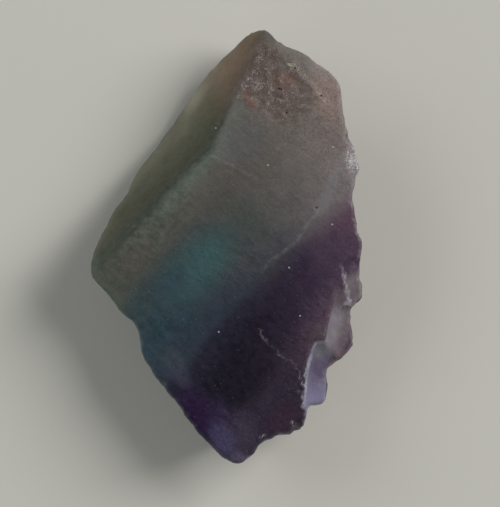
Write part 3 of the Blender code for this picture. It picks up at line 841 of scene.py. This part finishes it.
def paint_lines(net):
    """The cream streak, the veil, the step, the healed crack, the seam and the pits, on the top face."""
    streak = net.times(net.smooth(net.attribute("streak"), 0.42, 0.05), net.smooth(net.grains, 0.46, 0.60))
    net.paint(CREAM, streak, net.times(net.upper, 0.6))
    net.paint(HEALED, net.smooth(net.attribute("veil"), 0.9, 0.0, 0, 0.42), net.upper)
    step = net.smooth(net.attribute("step_line"), 0.22, 0.0)
    step = net.times(step, net.smooth(net.x, 5.0, 0.0, 0.05, 0.6), net.smooth(net.thin, 0.4, 0.6, 0.5, 1.0))
    net.paint(HEALED, step, net.upper)
    patchy = net.smooth(net.thin, 0.42, 0.56, 0.25, 1.0)
    crack = net.times(net.smooth(net.attribute("crack"), 0.34, 0.0, 0, 0.36), patchy)
    net.paint(HEALED, crack, net.smooth(net.side, 0.0, 5.5, 0.4, 1.2), net.upper)
    net.paint(HEALED, net.smooth(net.attribute("seam"), 0.17, 0.0, 0, 0.5), patchy, net.upper)
    net.paint(PIT_BLACK, net.smooth(net.nearest(PITS), 0.14, 0.05), net.smooth(net.upper, 0.0, 0.2))


def paint_broken_edges(net):
    """Sharp edges get a painted highlight, and broken crystal along the lips and the right shoulder catches
    the light in painted glints.
    """
    thin, grains = net.thin, net.grains
    # painted highlight on the sharp edges, strongest to the right where the light falls
    worn = net.plus(net.sharp, net.smooth(net.noise(2.2, 3, 0.6), 0.3, 0.7, -0.7, 0.7))
    net.paint(EDGE_HIGHLIGHT, net.smooth(worn, 0.9, 1.9), net.times(net.to_right, 0.28))
    for name, wide, low in (("lip", 0.26, -13.0), ("ledge_lip", 0.24, -4.4)):
        glint = net.smooth(net.attribute(name), wide, 0.04)
        glint = net.times(glint, net.smooth(thin, 0.42, 0.56, 0.3, 0.95))
        glint = net.times(glint, net.smooth(net.y, low + 2.5, low, 0.45, 1.0))
        net.paint(LIP_WHITE, glint, net.smooth(grains, 0.40, 0.56, 0.4, 1.0))
    for centre, size, turn in SPLINTERS:
        spot = net.blob((*centre, 8.6), (*size, 1.2), turn, 0.1)
        net.paint(SPLINTER_WHITE, spot, net.smooth(net.scratches, 0.50, 0.58), 0.8)
    # frayed crystal along the bottom right edge, partly its own pale colour and partly painted sparkle
    frayed = net.times(net.smooth(net.rim, 0.5, 0.2), net.smooth(thin, 0.48, 0.58, 0, 0.6))
    frayed = net.times(frayed, net.smooth(net.y, -14.0, -16.0), net.smooth(net.x, 1.0, 3.0))
    net.paint(FRAYED_SPARKLE, frayed, net.smooth(grains, 0.42, 0.56, 0.3, 1.0))
    crushed = net.attribute("crushed")
    crumbled = net.smooth(net.noise(2.4, 4, 0.7), 0.42, 0.62)
    net.paint(CRUSHED_WHITE, crushed, net.times(crumbled, 0.7))
    net.paint(SPARK, net.smooth(crushed, 0.1, 0.5), net.smooth(grains, 0.55, 0.64))


def paint_dust_and_sparkle(net):
    """A few bright specks, many faint ones, and the brightest where the photo has them."""
    away, own = net.scattered(1.7)
    bright = net.times(net.smooth(away, 0.12, 0.05), net.smooth(own[0], 0.75, 1.0, 0, 0.18))
    away, own = net.scattered(3.6)
    faint = net.times(net.smooth(away, 0.30, 0.12), net.smooth(own[1], 0.8, 1.0, 0, 0.09))
    brightest = net.times(net.smooth(net.nearest(SPECKS), 0.11, 0.05, 0, 0.7), net.upper)
    # specks partly dust and partly painted sparkle of the frosted grains
    net.paint(DUST_AND_SPARKLE, net.math("MAXIMUM", net.math("MAXIMUM", bright, faint), brightest))


def finish_surface(net, crust):
    """Gloss, the little way that light goes in, and a fine bump, strongest on the etched patch."""
    inputs = net.shader.inputs
    net.feed(inputs["Base Color"], net.colour)
    rough = net.smooth(net.noise(1.6, 4, 0.65), 0.3, 0.7, 0.36, 0.56)
    net.feed(inputs["Roughness"], net.math("SUBTRACT", rough, net.times(net.broken, 0.04)))
    inputs["IOR"].default_value = 1.434
    inputs["Specular IOR Level"].default_value = 0.4
    inputs["Subsurface Weight"].default_value = 0.35
    inputs["Subsurface Radius"].default_value = (1.0, 1.0, 1.0)
    inputs["Subsurface Scale"].default_value = 0.0009
    bump = net.node("ShaderNodeBump")
    bump.inputs["Strength"].default_value = 0.5
    bump.inputs["Distance"].default_value = 0.00006
    height = net.plus(net.noise(5.0, 4, 0.75), net.times(net.strokes, 0.8))
    net.feed(bump.inputs["Height"], net.plus(height, net.times(crust, net.times(net.grains, 1.6))))
    net.feed(inputs["Normal"], bump.outputs[0])


def stone_material():
    material = bpy.data.materials.new("frosted_fluorite")
    net = Net(material)
    paint_crystal(net)
    paint_frosting(net)
    paint_bevel(net)
    paint_left_rims(net)
    paint_chips(net)
    crust = paint_etched_patch(net)
    paint_lines(net)
    paint_broken_edges(net)
    paint_dust_and_sparkle(net)
    finish_surface(net, crust)
    return material


mesh.materials.clear()
mesh.materials.append(stone_material())
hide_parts("fluorite")
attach(stone, "root")

# ---------------------------------------------------------------- the studio
FLOOR_COLOUR = (214, 213, 205)
FLOOR_HALF = 2
LIGHTS_AIM = Vector((0, 0, 0.004))
WORLD_COLOUR = (0.96, 0.98, 1.0, 1)

floor_mesh = bpy.data.meshes.new("floor")
floor_corners = [(x * FLOOR_HALF, y * FLOOR_HALF, 0) for x, y in ((-1, -1), (1, -1), (1, 1), (-1, 1))]
floor_mesh.from_pydata(floor_corners, [], [(0, 1, 2, 3)])
floor = bpy.data.objects.new("floor", floor_mesh)
bpy.context.scene.collection.objects.link(floor)
paper = bpy.data.materials.new("paper")
paper.use_nodes = True
paper_inputs = paper.node_tree.nodes["Principled BSDF"].inputs
paper_inputs["Base Color"].default_value = (*(linear(c) for c in FLOOR_COLOUR), 1)
paper_inputs["Roughness"].default_value = 0.9
floor_mesh.materials.append(paper)


def softbox(name, place, size, power, colour):
    """A soft rectangular light that faces the stone. Places and sizes are metres."""
    light = bpy.data.lights.new(name, "AREA")
    light.shape = "RECTANGLE"
    light.size, light.size_y = size
    light.energy = power
    light.color = colour
    made = bpy.data.objects.new(name, light)
    made.location = place
    made.rotation_euler = (LIGHTS_AIM - Vector(place)).to_track_quat("-Z", "Y").to_euler()
    bpy.context.scene.collection.objects.link(made)


softbox("key", (0.42, 0.20, 0.40), (0.35, 0.35), 2.8, (1.0, 0.985, 0.96))
softbox("bounce", (-0.50, -0.36, 0.16), (0.5, 0.22), 0.8, (1.0, 0.98, 0.95))
softbox("fill", (-0.45, 0.28, 0.36), (0.5, 0.4), 1.0, (0.96, 0.98, 1.0))

world = bpy.data.worlds.new("studio")
world.use_nodes = True
background = world.node_tree.nodes["Background"].inputs
background["Color"].default_value = WORLD_COLOUR
background["Strength"].default_value = 0.12
bpy.context.scene.world = world
bpy.context.scene.view_settings.view_transform = "Standard"

# The camera looks straight down. At MEAN_HEIGHT, 10 of the picture's 507 rows are a millimetre.
CAMERA_HEIGHT, MEAN_HEIGHT = 520.0, 6.5
PICTURE_HEIGHT = 50.7
SENSOR = 36
camera_data = bpy.data.cameras.new("camera")
camera_data.sensor_width = SENSOR
camera_data.lens = SENSOR * (CAMERA_HEIGHT - MEAN_HEIGHT) / PICTURE_HEIGHT
camera_data.clip_start, camera_data.clip_end = 0.01, 10
camera = bpy.data.objects.new("camera", camera_data)
camera.location = (2.315 * MM, -0.70 * MM, CAMERA_HEIGHT * MM)
bpy.context.scene.collection.objects.link(camera)
bpy.context.scene.camera = camera
